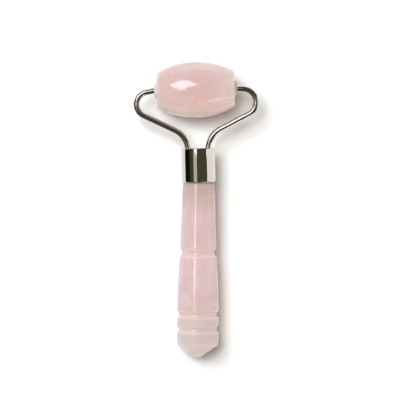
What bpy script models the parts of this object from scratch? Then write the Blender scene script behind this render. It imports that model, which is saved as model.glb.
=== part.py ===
"""Rose quartz face roller with one barrel-shaped roller.

The roller stone spins on two wire pins. The two wires make a sprung fork, which is glued into a chromed
ferrule, and the ferrule is glued over the tenon of a turned stone handle.

Lengths are in metres and angles in radians. The object lies on a table at z = 0. +X runs along the
roller's axle, +Y points from the tip of the handle towards the roller, and +Z is up.
Most pieces are placed in the head frame: its origin is the middle of the axle, its Y axis is the
ferrule's axis, and its XY plane is the plane of the bent wires.
"""

import math

import bpy
from mathutils import Vector

PARTS_COLLECTION = "face_roller"
CUTTERS_COLLECTION = "face_roller_cutters"

# Roller stone: a barrel, drilled through, with a counterbore at each end for a bush
ROLLER_LENGTH = 0.0250
ROLLER_RADIUS = 0.0090
ROLLER_CROWN_RADIUS = 0.0255
ROLLER_EDGE_ROUND = 0.0003
ROLLER_DRILL_RADIUS = 0.0017
ROLLER_OFFSET = -0.0003  # the stone has slid this far along X from the middle of the fork

# Bushes: plain sleeves with a stepped nose that stands out of the stone
BUSH_RADIUS = 0.00265
BUSH_INSET = 0.0060
BUSH_COLLAR_STANDOUT = 0.0005
BUSH_NOSE_RADIUS = 0.0020
BUSH_NOSE_STANDOUT = 0.00085
BUSH_EDGE_ROUND = 0.0002

# Bent wire of the fork
WIRE_RADIUS = 0.0010
PIN_INNER_END = 0.0072  # distance from the middle of the fork to the inner end of each pin
SHOULDER_START = 0.0137
SHOULDER_BEND_RADIUS = 0.0040
FLANK_SLOPE = math.atan(0.5)  # angle between the straight flanks and the axle
NECK_BEND_RADIUS = 0.0074
NECK_HEIGHT = 0.00375  # the flank's line meets the tail's line this far above the ferrule
TAIL_OFFSET = 0.00325
TAIL_DEPTH = 0.0045
LEFT_SIDE = -1
RIGHT_SIDE = 1
ARM_REACH = {LEFT_SIDE: 0.0195, RIGHT_SIDE: 0.0191}  # hand-bent, so the two arms differ a little
SHOULDER_DROOP = {LEFT_SIDE: math.radians(10.0), RIGHT_SIDE: math.radians(2.0)}

# Ferrule: a drawn metal cup with two holes in its closed end
AXLE_TO_FERRULE = 0.01875
FERRULE_LENGTH = 0.0110
FERRULE_RADIUS = 0.0055
FERRULE_WALL = 0.0005
FERRULE_TOP_THICKNESS = 0.0006
FERRULE_TOP_ROUND = 0.00035
FERRULE_LIP_ROUND = 0.0002

# Handle stone. Stations run along its axis from the mouth of the ferrule towards the tip.
HANDLE_SKEW = math.radians(-1.65)  # the handle was glued in slightly out of line
TENON_RADIUS = 0.0046
TENON_LENGTH = 0.0060
TENON_END_ROUND = 0.0004
SHOULDER_STATION = 0.0003
SHOULDER_RADIUS = 0.00512
SHOULDER_ROUND = 0.00045
GRIP_TOP_STATION = 0.0032
GRIP_TOP_RADIUS = 0.0053
GRIP_TOP_ROUND = 0.0080
GROOVE_HALF_WIDTH = 0.00125
GROOVE_CORNER_DEPTH = 0.00105  # depth of the groove's V before its bottom is rounded
GROOVE_BOTTOM_ROUND = 0.00115
GROOVE_EDGE_ROUND = 0.0003
WAIST_GROOVE_STATION = 0.0228
WAIST_UPPER_RADIUS = 0.00588
WAIST_LOWER_RADIUS = 0.00602
BELLY_STATION = 0.0296
BELLY_RADIUS = 0.00637
BELLY_ROUND = 0.0300
BEAD_GROOVE_STATIONS = (0.0426, 0.0474)
BEAD_RADIUS = 0.00674
BEAD_GROOVE_HALF_WIDTH = 0.00115
BEAD_EDGE_ROUND = 0.0006
CONE_STATION = 0.0527
CONE_BASE_RADIUS = 0.00662
CONE_EDGE_ROUND = 0.0016
CONE_HALF_ANGLE = math.radians(56.6)
TIP_ROUND = 0.0030

# Fits
RUNNING_GAP = 0.00006  # between a pin and its bush
GLUE_GAP = 0.00005  # between a glued or pressed piece and its neighbour
WIRE_HOLE_GAP = 0.00010
GLUE_SETBACK = 0.0006  # the glue ends this far inside the mouth of the ferrule

# Fineness of the surfaces
TURNED_STEPS = 40
SMALL_TURNED_STEPS = 24
WIRE_BEVEL_RESOLUTION = 4
CROWN_SEGMENTS = 15  # odd, so that the middle of the barrel is a flat band
ARC_STEP = math.radians(20.0)
SMALL_ARC_STEP = math.radians(30.0)
WIRE_ARC_STEP = math.radians(9.0)
MERGE_DISTANCE = 0.000001
CUTTER_OVERSHOOT = 0.0010

# Finishes: base colour, roughness, metallic
ROLLER_QUARTZ = ((0.74, 0.54, 0.51, 1.0), 0.12, 0.0)
HANDLE_QUARTZ = ((0.72, 0.54, 0.53, 1.0), 0.14, 0.0)
CHROME_PLATE = ((0.62, 0.62, 0.60, 1.0), 0.08, 1.0)
CLEAR_NYLON = ((0.86, 0.80, 0.76, 1.0), 0.35, 0.0)
EPOXY_GLUE = ((0.80, 0.76, 0.62, 1.0), 0.40, 0.0)


def clear_scene():
    for old_object in list(bpy.data.objects):
        bpy.data.objects.remove(old_object, do_unlink=True)


def new_collection(name):
    collection = bpy.data.collections.new(name)
    bpy.context.scene.collection.children.link(collection)
    return collection


def new_material(name, finish):
    colour, roughness, metallic = finish
    material = bpy.data.materials.new(name)
    material.use_nodes = True
    shader = material.node_tree.nodes["Principled BSDF"]
    shader.inputs["Base Color"].default_value = colour
    shader.inputs["Roughness"].default_value = roughness
    shader.inputs["Metallic"].default_value = metallic
    material.diffuse_color = colour
    return material


def new_empty(name, collection, parent=None):
    empty = bpy.data.objects.new(name, None)
    empty.parent = parent
    collection.objects.link(empty)
    return empty


def arc_points(centre, radius, start_angle, sweep, step):
    count = max(2, math.ceil(abs(sweep) / step))
    points = []
    for index in range(count + 1):
        angle = start_angle + sweep * index / count
        points.append(centre + radius * Vector((math.cos(angle), math.sin(angle))))
    return points


def rounded_path(corners, step=ARC_STEP):
    """Points of an open path through corners (x, y, fillet radius)."""
    points = [Vector(corners[0][:2])]
    for before, corner, after in zip(corners, corners[1:], corners[2:]):
        here = Vector(corner[:2])
        radius = corner[2]
        to_before = (Vector(before[:2]) - here).normalized()
        to_after = (Vector(after[:2]) - here).normalized()
        half_angle = to_before.angle(to_after) / 2
        if radius == 0.0 or half_angle > math.radians(89.9):
            points.append(here)
            continue
        centre = here + (to_before + to_after).normalized() * radius / math.sin(half_angle)
        tangent_length = radius / math.tan(half_angle)
        start = here + to_before * tangent_length - centre
        end = here + to_after * tangent_length - centre
        start_angle = math.atan2(start.y, start.x)
        sweep = math.remainder(math.atan2(end.y, end.x) - start_angle, math.tau)
        points.extend(arc_points(centre, radius, start_angle, sweep, step))
    points.append(Vector(corners[-1][:2]))
    return points


def turned_object(name, outline, collection, parent, steps=TURNED_STEPS, closed=False):
    """A solid turned about its own Z axis from an outline of (radius, height) points.

    An open outline starts and ends on the axis, and a closed one makes a ring. The outline stands half a
    step off the X axis, so that a flat of the turned surface, and not a corner, faces the table.
    """
    mesh = bpy.data.meshes.new(name)
    half_step = math.pi / steps
    vertices = [
        (radius * math.cos(half_step), radius * math.sin(half_step), height) for radius, height in outline
    ]
    edges = [(index, index + 1) for index in range(len(vertices) - 1)]
    if closed:
        edges.append((len(vertices) - 1, 0))
    mesh.from_pydata(vertices, edges, [])
    turned = bpy.data.objects.new(name, mesh)
    turned.parent = parent
    collection.objects.link(turned)
    screw = turned.modifiers.new("Turn", "SCREW")
    screw.axis = "Z"
    screw.steps = steps
    screw.render_steps = steps
    screw.use_merge_vertices = True
    screw.merge_threshold = MERGE_DISTANCE
    return turned


def wire_object(name, path, collection, parent):
    curve = bpy.data.curves.new(name, "CURVE")
    curve.dimensions = "3D"
    curve.bevel_depth = WIRE_RADIUS
    curve.bevel_resolution = WIRE_BEVEL_RESOLUTION
    curve.use_fill_caps = True
    spline = curve.splines.new("POLY")
    spline.points.add(len(path) - 1)
    for spline_point, (x, y) in zip(spline.points, path):
        spline_point.co = (x, y, 0.0, 1.0)
    wire = bpy.data.objects.new(name, curve)
    wire.parent = parent
    collection.objects.link(wire)
    return wire


def rod_object(name, radius, bottom, top, collection, parent, steps=TURNED_STEPS):
    outline = [(0.0, top), (radius, top), (radius, bottom), (0.0, bottom)]
    return turned_object(name, outline, collection, parent, steps)


def cut(target, cutter):
    cutter.hide_render = True
    cutter.display_type = "WIRE"
    boolean = target.modifiers.new("Cut " + cutter.name, "BOOLEAN")
    boolean.operation = "DIFFERENCE"
    boolean.object = cutter


def lay_along_y(turned):
    """Turns an object's Z axis onto its parent's Y axis."""
    turned.rotation_euler = (math.radians(-90.0), 0.0, 0.0)


def point_along_x(turned, side):
    """Turns an object's Z axis onto its parent's X axis, outwards on the given side."""
    turned.rotation_euler = (0.0, math.radians(90.0) * side, 0.0)


def roller_outline():
    half_length = ROLLER_LENGTH / 2
    pocket_radius = BUSH_RADIUS + GLUE_GAP
    pocket_floor = half_length - BUSH_INSET - GLUE_GAP
    crown_centre = ROLLER_RADIUS - ROLLER_CROWN_RADIUS
    half_sweep = math.asin(half_length / ROLLER_CROWN_RADIUS)
    crown = []
    for index in range(CROWN_SEGMENTS + 1):
        angle = half_sweep * (1 - 2 * index / CROWN_SEGMENTS)
        radius = crown_centre + ROLLER_CROWN_RADIUS * math.cos(angle)
        crown.append([radius, ROLLER_CROWN_RADIUS * math.sin(angle), 0.0])
    crown[0][2] = ROLLER_EDGE_ROUND
    crown[-1][2] = ROLLER_EDGE_ROUND
    corners = [(pocket_radius, half_length, 0.0), *crown]
    corners += [
        (pocket_radius, -half_length, 0.0),
        (pocket_radius, -pocket_floor, 0.0),
        (ROLLER_DRILL_RADIUS, -pocket_floor, 0.0),
        (ROLLER_DRILL_RADIUS, pocket_floor, 0.0),
        (pocket_radius, pocket_floor, 0.0),
    ]
    return rounded_path(corners)


def bush_outline():
    bore = WIRE_RADIUS + RUNNING_GAP
    return rounded_path([
        (bore, BUSH_NOSE_STANDOUT, 0.0),
        (BUSH_NOSE_RADIUS, BUSH_NOSE_STANDOUT, BUSH_EDGE_ROUND),
        (BUSH_NOSE_RADIUS, BUSH_COLLAR_STANDOUT, 0.0),
        (BUSH_RADIUS, BUSH_COLLAR_STANDOUT, BUSH_EDGE_ROUND),
        (BUSH_RADIUS, -BUSH_INSET, 0.0),
        (bore, -BUSH_INSET, 0.0),
    ], SMALL_ARC_STEP)


def arm_path(side):
    """Centre line of one wire in the head frame: pin, shoulder, outer bend, flank, neck and tail."""
    droop = SHOULDER_DROOP[side]
    neck = Vector((TAIL_OFFSET, NECK_HEIGHT - AXLE_TO_FERRULE))
    shoulder = Vector((SHOULDER_START, 0.0))
    shoulder_way = Vector((math.cos(droop), -math.sin(droop)))
    flank_way = Vector((math.cos(FLANK_SLOPE), math.sin(FLANK_SLOPE)))
    along_shoulder = (neck - shoulder).cross(flank_way) / shoulder_way.cross(flank_way)
    outer = shoulder + shoulder_way * along_shoulder
    # the outer bend's radius is the one at which the bend reaches out as far as it should
    half_angle = (-shoulder_way).angle(-flank_way) / 2
    inward = (-shoulder_way - flank_way).normalized()
    bend_radius = (ARM_REACH[side] - outer.x) / (1 + inward.x / math.sin(half_angle))
    corners = [
        (PIN_INNER_END, 0.0, 0.0),
        (*shoulder, SHOULDER_BEND_RADIUS),
        (*outer, bend_radius),
        (*neck, NECK_BEND_RADIUS),
        (TAIL_OFFSET, -AXLE_TO_FERRULE - TAIL_DEPTH, 0.0),
    ]
    return [(side * x, y) for x, y in rounded_path(corners, WIRE_ARC_STEP)]


def ferrule_outline():
    inner_radius = FERRULE_RADIUS - FERRULE_WALL
    inner_top = FERRULE_LENGTH - FERRULE_TOP_THICKNESS
    return rounded_path([
        (0.0, FERRULE_LENGTH, 0.0),
        (FERRULE_RADIUS, FERRULE_LENGTH, FERRULE_TOP_ROUND),
        (FERRULE_RADIUS, 0.0, FERRULE_LIP_ROUND),
        (inner_radius, 0.0, 0.0),
        (inner_radius, inner_top, 0.0),
        (0.0, inner_top, 0.0),
    ], SMALL_ARC_STEP)


def groove_corners(station, half_width, edge_radii, edge_round):
    before_radius, after_radius = edge_radii
    bottom_radius = (before_radius + after_radius) / 2 - GROOVE_CORNER_DEPTH
    return [
        (before_radius, -(station - half_width), edge_round),
        (bottom_radius, -station, GROOVE_BOTTOM_ROUND),
        (after_radius, -(station + half_width), edge_round),
    ]


def handle_outline():
    """The stone's outline from the end of its tenon to its tip."""
    apex_station = CONE_STATION + CONE_BASE_RADIUS / math.tan(CONE_HALF_ANGLE)
    nose_setback = TIP_ROUND * (1 / math.sin(CONE_HALF_ANGLE) - 1)
    nose_centre = apex_station - nose_setback - TIP_ROUND
    nose_angle = math.pi / 2 - CONE_HALF_ANGLE
    nose = arc_points(
        Vector((0.0, -nose_centre)), TIP_ROUND, nose_angle - math.pi / 2, -nose_angle, ARC_STEP
    )
    corners = [
        (0.0, TENON_LENGTH, 0.0),
        (TENON_RADIUS, TENON_LENGTH, TENON_END_ROUND),
        (TENON_RADIUS, -SHOULDER_STATION, 0.0),
        (SHOULDER_RADIUS, -SHOULDER_STATION, SHOULDER_ROUND),
        (GRIP_TOP_RADIUS, -GRIP_TOP_STATION, GRIP_TOP_ROUND),
        *groove_corners(
            WAIST_GROOVE_STATION,
            GROOVE_HALF_WIDTH,
            (WAIST_UPPER_RADIUS, WAIST_LOWER_RADIUS),
            GROOVE_EDGE_ROUND,
        ),
        (BELLY_RADIUS, -BELLY_STATION, BELLY_ROUND),
    ]
    for station in BEAD_GROOVE_STATIONS:
        corners += groove_corners(
            station,
            BEAD_GROOVE_HALF_WIDTH,
            (BEAD_RADIUS, BEAD_RADIUS),
            BEAD_EDGE_ROUND,
        )
    corners.append((CONE_BASE_RADIUS, -CONE_STATION, CONE_EDGE_ROUND))
    corners.append((*nose[0], 0.0))
    return rounded_path(corners) + nose[1:]


def resting_tilt():
    """Rise of the head's axis above the table when the roller and the handle both touch it."""
    axle_to_mouth = AXLE_TO_FERRULE + FERRULE_LENGTH
    tilts = []
    for radius, height in handle_outline():
        distance = axle_to_mouth - height * math.cos(HANDLE_SKEW)
        touch = math.asin(ROLLER_RADIUS / math.hypot(radius, distance))
        tilts.append(touch - math.atan2(radius, distance))
    return min(tilts)


def build_roller(axle, collection):
    """The roller stone and its two bushes, which turn together on the axle."""
    stone = turned_object("roller_stone", roller_outline(), collection, axle, closed=True)
    point_along_x(stone, RIGHT_SIDE)
    stone.data.materials.append(new_material("roller_quartz", ROLLER_QUARTZ))
    nylon = new_material("clear_nylon", CLEAR_NYLON)
    for side, name in ((LEFT_SIDE, "left_bush"), (RIGHT_SIDE, "right_bush")):
        bush = turned_object(name, bush_outline(), collection, axle, SMALL_TURNED_STEPS, closed=True)
        bush.location.x = side * ROLLER_LENGTH / 2
        point_along_x(bush, side)
        bush.data.materials.append(nylon)


def build_fork(head, chrome, collection):
    for side, name in ((LEFT_SIDE, "left_arm_wire"), (RIGHT_SIDE, "right_arm_wire")):
        arm = wire_object(name, arm_path(side), collection, head)
        arm.data.materials.append(chrome)


def tail_cutter(name, radius, bottom, side, cutters, head):
    """A rod along one wire tail, with its lower end at the given height above the ferrule's mouth."""
    cutter = rod_object(
        name, radius, bottom, FERRULE_LENGTH + CUTTER_OVERSHOOT, cutters, head, SMALL_TURNED_STEPS
    )
    cutter.location = (side * TAIL_OFFSET, -AXLE_TO_FERRULE - FERRULE_LENGTH, 0.0)
    lay_along_y(cutter)
    return cutter


def build_ferrule(head, chrome, collection, cutters):
    ferrule = turned_object("ferrule", ferrule_outline(), collection, head)
    ferrule.location.y = -AXLE_TO_FERRULE - FERRULE_LENGTH
    lay_along_y(ferrule)
    ferrule.data.materials.append(chrome)
    hole_bottom = FERRULE_LENGTH - FERRULE_TOP_THICKNESS - CUTTER_OVERSHOOT
    for side in (LEFT_SIDE, RIGHT_SIDE):
        radius = WIRE_RADIUS + WIRE_HOLE_GAP
        cut(ferrule, tail_cutter("ferrule_hole_cutter", radius, hole_bottom, side, cutters, head))


def build_glue(head, handle_axis, collection, cutters):
    """The cured glue between the ferrule, the wire tails and the tenon."""
    outer_radius = FERRULE_RADIUS - FERRULE_WALL - GLUE_GAP
    top = FERRULE_LENGTH - FERRULE_TOP_THICKNESS - GLUE_GAP
    glue = rod_object("ferrule_glue", outer_radius, GLUE_SETBACK, top, collection, head)
    glue.location.y = -AXLE_TO_FERRULE - FERRULE_LENGTH
    lay_along_y(glue)
    glue.data.materials.append(new_material("epoxy_glue", EPOXY_GLUE))
    tenon_cutter = rod_object(
        "tenon_cutter",
        TENON_RADIUS + GLUE_GAP,
        -CUTTER_OVERSHOOT,
        TENON_LENGTH + GLUE_GAP,
        cutters,
        handle_axis,
    )
    lay_along_y(tenon_cutter)
    cut(glue, tenon_cutter)
    socket_bottom = FERRULE_LENGTH - TAIL_DEPTH - GLUE_GAP
    for side in (LEFT_SIDE, RIGHT_SIDE):
        radius = WIRE_RADIUS + GLUE_GAP
        cut(glue, tail_cutter("glue_socket_cutter", radius, socket_bottom, side, cutters, head))


def build_handle(handle_axis, collection):
    handle = turned_object("handle_stone", handle_outline(), collection, handle_axis)
    lay_along_y(handle)
    handle.data.materials.append(new_material("handle_quartz", HANDLE_QUARTZ))


def settle_on_table(origin, collection):
    """Moves the origin empty so that the box round all pieces is centred on x = y = 0 and stands on z = 0."""
    bpy.context.view_layer.update()
    depsgraph = bpy.context.evaluated_depsgraph_get()
    points = []
    for piece in collection.objects:
        if piece.type == "EMPTY":
            continue
        evaluated = piece.evaluated_get(depsgraph)
        mesh = evaluated.to_mesh()
        points.extend(evaluated.matrix_world @ vertex.co for vertex in mesh.vertices)
        evaluated.to_mesh_clear()
    low = Vector([min(point[axis] for point in points) for axis in range(3)])
    high = Vector([max(point[axis] for point in points) for axis in range(3)])
    origin.location = (-(low.x + high.x) / 2, -(low.y + high.y) / 2, -low.z)
    bpy.context.view_layer.update()


def main():
    clear_scene()
    collection = new_collection(PARTS_COLLECTION)
    cutters = new_collection(CUTTERS_COLLECTION)
    origin = new_empty("table_origin", collection)
    head = new_empty("head_frame", collection, origin)
    head.rotation_euler = (resting_tilt(), 0.0, 0.0)
    axle = new_empty("roller_axle", collection, head)
    axle.location.x = ROLLER_OFFSET
    handle_axis = new_empty("handle_axis", collection, head)
    handle_axis.location.y = -AXLE_TO_FERRULE - FERRULE_LENGTH
    handle_axis.rotation_euler = (0.0, 0.0, HANDLE_SKEW)
    chrome = new_material("chrome_plate", CHROME_PLATE)
    build_roller(axle, collection)
    build_fork(head, chrome, collection)
    build_ferrule(head, chrome, collection, cutters)
    build_glue(head, handle_axis, collection, cutters)
    build_handle(handle_axis, collection)
    settle_on_table(origin, collection)


main()
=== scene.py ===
"""Looks of the rose quartz face roller: fine meshes, materials, studio light and camera.

Lengths are in metres and angles in radians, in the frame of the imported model: +X runs along the
roller's axle, +Y points from the tip of the handle towards the roller, +Z is up, and the table is at
z = 0. Most pieces are built in the head frame: its origin is the middle of the fork on the axle, its
Y axis is the ferrule's axis, and its XY plane is the plane of the bent wires.
"""

import math

import bmesh
import bpy
from mathutils import Matrix, Vector, noise


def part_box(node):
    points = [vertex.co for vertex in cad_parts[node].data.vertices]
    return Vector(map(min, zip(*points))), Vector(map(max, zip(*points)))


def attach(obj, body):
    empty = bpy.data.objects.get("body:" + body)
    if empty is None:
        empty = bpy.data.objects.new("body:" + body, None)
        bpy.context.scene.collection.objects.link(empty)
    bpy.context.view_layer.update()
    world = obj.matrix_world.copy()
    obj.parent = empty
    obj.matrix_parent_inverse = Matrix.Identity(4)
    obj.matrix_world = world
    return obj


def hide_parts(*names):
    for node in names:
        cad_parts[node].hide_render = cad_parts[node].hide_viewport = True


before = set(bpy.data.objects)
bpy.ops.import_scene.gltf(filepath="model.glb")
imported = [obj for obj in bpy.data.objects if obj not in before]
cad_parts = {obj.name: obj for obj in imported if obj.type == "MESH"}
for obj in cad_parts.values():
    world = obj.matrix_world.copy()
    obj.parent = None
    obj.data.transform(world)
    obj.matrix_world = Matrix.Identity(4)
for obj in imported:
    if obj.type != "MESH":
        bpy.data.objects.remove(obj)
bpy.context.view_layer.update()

# Roller stone
ROLLER_LENGTH = 0.0250
ROLLER_RADIUS = 0.0090
ROLLER_CROWN_RADIUS = 0.0255
ROLLER_EDGE_ROUND = 0.0003
ROLLER_DRILL_RADIUS = 0.0017
ROLLER_OFFSET = -0.0003  # the stone has slid this far along X from the middle of the fork

# Bushes
BUSH_RADIUS = 0.00265
BUSH_INSET = 0.0060
BUSH_COLLAR_STANDOUT = 0.0005
BUSH_NOSE_RADIUS = 0.0020
BUSH_NOSE_STANDOUT = 0.00085
BUSH_EDGE_ROUND = 0.0002

# Bent wire of the fork
WIRE_RADIUS = 0.0010
PIN_INNER_END = 0.0072
SHOULDER_START = 0.0137
SHOULDER_BEND_RADIUS = 0.0040
FLANK_SLOPE = math.atan(0.5)
NECK_BEND_RADIUS = 0.0074
NECK_HEIGHT = 0.00375
TAIL_OFFSET = 0.00325
TAIL_DEPTH = 0.0045
LEFT_SIDE = -1
RIGHT_SIDE = 1
ARM_REACH = {LEFT_SIDE: 0.0195, RIGHT_SIDE: 0.0191}
SHOULDER_DROOP = {LEFT_SIDE: math.radians(10.0), RIGHT_SIDE: math.radians(2.0)}

# Ferrule
AXLE_TO_FERRULE = 0.01875
FERRULE_LENGTH = 0.0110
FERRULE_RADIUS = 0.0055
FERRULE_WALL = 0.0005
FERRULE_TOP_THICKNESS = 0.0006
FERRULE_TOP_ROUND = 0.00035
FERRULE_LIP_ROUND = 0.0002

# Handle stone. Stations run along its axis from the mouth of the ferrule towards the tip.
HANDLE_SKEW = math.radians(-1.65)
TENON_RADIUS = 0.0046
TENON_LENGTH = 0.0060
TENON_END_ROUND = 0.0004
SHOULDER_STATION = 0.0003
SHOULDER_RADIUS = 0.00512
SHOULDER_ROUND = 0.00045
GRIP_TOP_STATION = 0.0032
GRIP_TOP_RADIUS = 0.0053
GRIP_TOP_ROUND = 0.0080
GROOVE_HALF_WIDTH = 0.00125
GROOVE_CORNER_DEPTH = 0.00105
GROOVE_BOTTOM_ROUND = 0.00115
GROOVE_EDGE_ROUND = 0.0003
WAIST_GROOVE_STATION = 0.0228
WAIST_UPPER_RADIUS = 0.00588
WAIST_LOWER_RADIUS = 0.00602
BELLY_STATION = 0.0296
BELLY_RADIUS = 0.00637
BELLY_ROUND = 0.0300
BEAD_GROOVE_STATIONS = (0.0426, 0.0474)
BEAD_RADIUS = 0.00674
BEAD_GROOVE_HALF_WIDTH = 0.00115
BEAD_EDGE_ROUND = 0.0006
CONE_STATION = 0.0527
CONE_BASE_RADIUS = 0.00662
CONE_EDGE_ROUND = 0.0016
CONE_HALF_ANGLE = math.radians(56.6)
TIP_ROUND = 0.0030

# Fits
RUNNING_GAP = 0.00006
GLUE_GAP = 0.00005
WIRE_HOLE_GAP = 0.00010

# Fineness of the surfaces
STONE_STEPS = 144
FERRULE_STEPS = 160
BUSH_STEPS = 64
HOLE_STEPS = 48
WIRE_SIDES = 36
CROWN_SEGMENTS = 61
ARC_STEP = math.radians(5.0)
WIRE_ARC_STEP = math.radians(3.0)
SHARP_ANGLE = math.radians(40.0)
NEARLY_STRAIGHT = math.radians(89.9)  # half the angle of a corner that needs no fillet
CUTTER_OVERSHOOT = 0.0010
RING_GAP = 0.0004  # the ferrule and the handle have a ring of vertices at least this often

# Slight waviness that hand polishing leaves on the stones
POLISH_WAVE_HEIGHT = 0.000002
POLISH_WAVE_LENGTH = 0.0080
ROLLER_WAVE_RADII = (2 * BUSH_RADIUS, 3 * BUSH_RADIUS)  # from flat ends to the full wave
HANDLE_WAVE_STATIONS = (SHOULDER_STATION, 2 * GRIP_TOP_STATION)  # from the tenon to the full wave


# ---------------------------------------------------------------- frames of the assembly


def middle(node):
    low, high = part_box(node)
    return (low + high) / 2


def head_frame():
    """The head frame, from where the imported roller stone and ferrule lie."""
    roller = middle("roller_stone")
    ferrule = middle("ferrule")
    origin = Matrix.Translation((roller.x - ROLLER_OFFSET, roller.y, roller.z))
    tilt = math.atan2(roller.z - ferrule.z, roller.y - ferrule.y)
    return origin @ Matrix.Rotation(tilt, 4, "X")


HEAD = head_frame()
AXLE = HEAD @ Matrix.Translation((ROLLER_OFFSET, 0.0, 0.0))
MOUTH = HEAD @ Matrix.Translation((0.0, -AXLE_TO_FERRULE - FERRULE_LENGTH, 0.0))
HANDLE = MOUTH @ Matrix.Rotation(HANDLE_SKEW, 4, "Z")


# ---------------------------------------------------------------- outlines


def arc_points(centre, radius, start_angle, sweep, step):
    """Points along an arc, both ends included, no further apart than the given angle."""
    count = max(2, math.ceil(abs(sweep) / step))
    points = []
    for index in range(count + 1):
        angle = start_angle + sweep * index / count
        points.append(centre + radius * Vector((math.cos(angle), math.sin(angle))))
    return points


def rounded_path(corners, step=ARC_STEP):
    """Points of an open path through corners (x, y, fillet radius)."""
    points = [Vector(corners[0][:2])]
    for before, corner, after in zip(corners, corners[1:], corners[2:]):
        here = Vector(corner[:2])
        radius = corner[2]
        to_before = (Vector(before[:2]) - here).normalized()
        to_after = (Vector(after[:2]) - here).normalized()
        half_angle = to_before.angle(to_after) / 2
        if radius == 0.0 or half_angle > NEARLY_STRAIGHT:
            points.append(here)
            continue
        centre = here + (to_before + to_after).normalized() * radius / math.sin(half_angle)
        tangent_length = radius / math.tan(half_angle)
        start = here + to_before * tangent_length - centre
        end = here + to_after * tangent_length - centre
        start_angle = math.atan2(start.y, start.x)
        sweep = math.remainder(math.atan2(end.y, end.x) - start_angle, math.tau)
        points.extend(arc_points(centre, radius, start_angle, sweep, step))
    points.append(Vector(corners[-1][:2]))
    return points


def with_short_steps(points, longest):
    """The same path with extra points wherever a straight stretch is longer than the given length."""
    filled = [points[0]]
    for before, after in zip(points, points[1:]):
        count = max(1, math.ceil((after - before).length / longest))
        for index in range(1, count + 1):
            filled.append(before.lerp(after, index / count))
    return filled


def roller_outline():
    """The barrel, its flat ends, the two pockets for the bushes and the drilling between them."""
    half_length = ROLLER_LENGTH / 2
    pocket_radius = BUSH_RADIUS + GLUE_GAP
    pocket_floor = half_length - BUSH_INSET - GLUE_GAP
    crown_centre = ROLLER_RADIUS - ROLLER_CROWN_RADIUS
    half_sweep = math.asin(half_length / ROLLER_CROWN_RADIUS)
    crown = []
    for index in range(CROWN_SEGMENTS + 1):
        angle = half_sweep * (1 - 2 * index / CROWN_SEGMENTS)
        radius = crown_centre + ROLLER_CROWN_RADIUS * math.cos(angle)
        crown.append([radius, ROLLER_CROWN_RADIUS * math.sin(angle), 0.0])
    crown[0][2] = ROLLER_EDGE_ROUND
    crown[-1][2] = ROLLER_EDGE_ROUND
    return rounded_path([
        (pocket_radius, half_length, 0.0),
        *crown,
        (pocket_radius, -half_length, 0.0),
        (pocket_radius, -pocket_floor, 0.0),
        (ROLLER_DRILL_RADIUS, -pocket_floor, 0.0),
        (ROLLER_DRILL_RADIUS, pocket_floor, 0.0),
        (pocket_radius, pocket_floor, 0.0),
    ])


def bush_outline():
    """A sleeve with a collar and a narrower nose, measured outwards from the stone's end."""
    bore = WIRE_RADIUS + RUNNING_GAP
    return rounded_path([
        (bore, BUSH_NOSE_STANDOUT, 0.0),
        (BUSH_NOSE_RADIUS, BUSH_NOSE_STANDOUT, BUSH_EDGE_ROUND),
        (BUSH_NOSE_RADIUS, BUSH_COLLAR_STANDOUT, 0.0),
        (BUSH_RADIUS, BUSH_COLLAR_STANDOUT, BUSH_EDGE_ROUND),
        (BUSH_RADIUS, -BUSH_INSET, 0.0),
        (bore, -BUSH_INSET, 0.0),
    ])


def arm_path(side):
    """Centre line of one wire in the head frame: pin, shoulder, outer bend, flank, neck and tail."""
    droop = SHOULDER_DROOP[side]
    neck = Vector((TAIL_OFFSET, NECK_HEIGHT - AXLE_TO_FERRULE))
    shoulder = Vector((SHOULDER_START, 0.0))
    shoulder_way = Vector((math.cos(droop), -math.sin(droop)))
    flank_way = Vector((math.cos(FLANK_SLOPE), math.sin(FLANK_SLOPE)))
    along_shoulder = (neck - shoulder).cross(flank_way) / shoulder_way.cross(flank_way)
    outer = shoulder + shoulder_way * along_shoulder
    half_angle = (-shoulder_way).angle(-flank_way) / 2
    inward = (-shoulder_way - flank_way).normalized()
    bend_radius = (ARM_REACH[side] - outer.x) / (1 + inward.x / math.sin(half_angle))
    corners = [
        (PIN_INNER_END, 0.0, 0.0),
        (*shoulder, SHOULDER_BEND_RADIUS),
        (*outer, bend_radius),
        (*neck, NECK_BEND_RADIUS),
        (TAIL_OFFSET, -AXLE_TO_FERRULE - TAIL_DEPTH, 0.0),
    ]
    return [Vector((side * x, y)) for x, y in rounded_path(corners, WIRE_ARC_STEP)]


def ferrule_outline():
    """A cup that opens towards the handle, with its height measured from its mouth."""
    inner_radius = FERRULE_RADIUS - FERRULE_WALL
    inner_top = FERRULE_LENGTH - FERRULE_TOP_THICKNESS
    return rounded_path([
        (0.0, FERRULE_LENGTH, 0.0),
        (FERRULE_RADIUS, FERRULE_LENGTH, FERRULE_TOP_ROUND),
        (FERRULE_RADIUS, 0.0, FERRULE_LIP_ROUND),
        (inner_radius, 0.0, 0.0),
        (inner_radius, inner_top, 0.0),
        (0.0, inner_top, 0.0),
    ])


def groove_corners(station, half_width, edge_radii, edge_round):
    """The upper edge, bottom and lower edge of a groove turned round the handle."""
    before_radius, after_radius = edge_radii
    bottom_radius = (before_radius + after_radius) / 2 - GROOVE_CORNER_DEPTH
    return [
        (before_radius, -(station - half_width), edge_round),
        (bottom_radius, -station, GROOVE_BOTTOM_ROUND),
        (after_radius, -(station + half_width), edge_round),
    ]


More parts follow.
